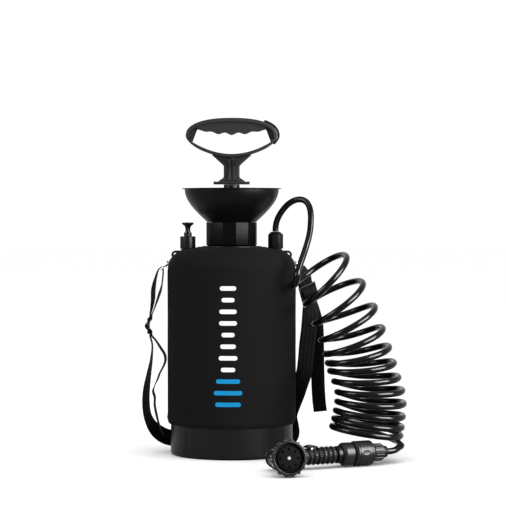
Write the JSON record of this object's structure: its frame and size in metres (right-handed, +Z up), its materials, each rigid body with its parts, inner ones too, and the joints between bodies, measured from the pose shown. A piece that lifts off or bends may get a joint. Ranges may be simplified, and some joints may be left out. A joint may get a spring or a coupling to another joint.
{
  "type": "portable pressure shower",
  "caption": "Portable camping shower: sleeved pressure tank with filling funnel and hand pump, relief valve, wound hose with quick connector, pattern handset and two clip-on carrying straps.",
  "frame": {"origin": "on the floor, under the tank's axis, at the middle of the tank's flat base", "axes": "+Z up along the tank's axis; -Y is the front, where the spray head lies; +X is the hose side"},
  "size_m": [0.4055, 0.3974, 0.52],
  "materials": {
    "satin_black": "satin moulded black",
    "black_plastic": "finely textured black",
    "gloss_black": "polished black",
    "grey_plastic": "light grey",
    "pale_plastic": "natural, slightly cloudy",
    "gloss_hose": "shiny flexible hose",
    "black_rubber": "matt",
    "red_rubber": "matt",
    "neoprene": "soft, closely knitted face",
    "webbing": "woven tape",
    "bright_steel": "bright plated",
    "spring_steel": "drawn wire"
  },
  "bodies": {
    "tank": {"tank_shell": "satin_black", "sleeve": "neoprene", "neck_collar": "satin_black", "filling_funnel": "black_plastic", "relief_gasket": "black_rubber", "relief_body": "black_plastic", "relief_spring": "spring_steel", "hose_nut": "black_plastic", "hose_gasket": "black_rubber", "hose_barb": "black_plastic", "dip_tube": "pale_plastic", "dip_filter": "pale_plastic", "hose_lead": "gloss_hose", "hose_coil": "gloss_hose", "hose_tail": "gloss_hose", "connector_body": "satin_black", "connector_nut": "black_plastic", "hose_end_cap": "black_plastic", "left_eye": "bright_steel", "left_slider": "black_plastic", "left_strap": "webbing", "right_eye": "bright_steel", "right_slider": "black_plastic", "right_strap": "webbing"},
    "relief": {"relief_knob": "black_plastic", "relief_seal": "black_rubber"},
    "pump_seal": {"pump_gasket": "black_rubber"},
    "pump": {"pump_cap": "black_plastic", "pump_cylinder": "pale_plastic", "foot_valve_seat": "black_plastic", "foot_valve_flap": "red_rubber"},
    "cup": {"piston_cup": "black_rubber"},
    "handle": {"pump_handle": "black_plastic", "handle_clip": "black_plastic", "pump_rod": "black_plastic", "piston": "black_plastic"},
    "collar": {"connector_collar": "satin_black"},
    "handset": {"handset_adapter": "black_plastic", "spigot_seal": "black_rubber", "handset_body": "black_plastic", "grip_sleeve": "black_rubber", "lever_pin": "spring_steel", "head_shell": "satin_black", "rear_cap": "gloss_black"},
    "dial": {"spray_dial": "black_plastic", "nozzle_face": "black_plastic", "centre_cap": "grey_plastic"},
    "lever": {"thumb_lever": "black_plastic"},
    "left_hook": {"left_hook": "bright_steel"},
    "left_gate": {"left_gate": "bright_steel"},
    "right_hook": {"right_hook": "bright_steel"},
    "right_gate": {"right_gate": "bright_steel"}
  },
  "joints": [
    {"name": "relief_pull", "type": "slide", "parent": "tank", "child": "relief", "axis": [0, 0, 1], "range_m": [0, 0.005], "stiffness_N_per_m": 200, "springref_m": -0.003, "deforming": ["relief_spring"]},
    {"name": "pump_lift", "type": "slide", "parent": "tank", "child": "pump_seal", "axis": [0, 0, 1], "range_m": [0, 0.3]},
    {"name": "pump_turn", "type": "hinge", "parent": "pump_seal", "child": "pump", "pos_m": [0, 0, 0.3637], "axis": [0, 0, 1], "continuous": true},
    {"name": "handle_stroke", "type": "slide", "parent": "pump", "child": "cup", "axis": [0, 0, 1], "range_m": [0, 0.19]},
    {"name": "handle_turn", "type": "hinge", "parent": "cup", "child": "handle", "pos_m": [0, 0, 0.4173], "axis": [0, 0, 1], "continuous": true},
    {"name": "collar_slide", "type": "slide", "parent": "tank", "child": "collar", "axis": [0.891, 0.454, 0], "range_m": [0, 0.0027], "stiffness_N_per_m": 300, "springref_m": -0.002},
    {"name": "handset_pull", "type": "slide", "parent": "tank", "child": "handset", "axis": [-0.891, -0.454, 0], "range_m": [0, 0.025]},
    {"name": "dial_turn", "type": "hinge", "parent": "handset", "child": "dial", "pos_m": [0.06801, -0.21703, 0.0187], "axis": [0.2166, -0.9688, 0.1201], "continuous": true},
    {"name": "lever_rock", "type": "hinge", "parent": "handset", "child": "lever", "pos_m": [0.11675, -0.1922, 0.0302], "axis": [-0.454, 0.891, 0], "range_deg": [-8, 8]},
    {"name": "left_hook_swivel", "type": "hinge", "parent": "tank", "child": "left_hook", "pos_m": [-0.08764, 0, 0.30776], "axis": [0.7071, 0, 0.7071], "range_deg": [-12, 12]},
    {"name": "left_gate_open", "type": "hinge", "parent": "left_hook", "child": "left_gate", "pos_m": [-0.09874, -0.0052, 0.29666], "axis": [-0.7071, 0, 0.7071], "range_deg": [0, 30], "stiffness_Nm_per_rad": 0.005, "springref_deg": -17.19},
    {"name": "right_hook_swivel", "type": "hinge", "parent": "tank", "child": "right_hook", "pos_m": [0.08761, 0, 0.30774], "axis": [-0.682, 0, 0.7314], "range_deg": [-12, 12]},
    {"name": "right_gate_open", "type": "hinge", "parent": "right_hook", "child": "right_gate", "pos_m": [0.09832, -0.0052, 0.29626], "axis": [-0.7314, 0, -0.682], "range_deg": [0, 30], "stiffness_Nm_per_rad": 0.005, "springref_deg": -17.19}
  ]
}
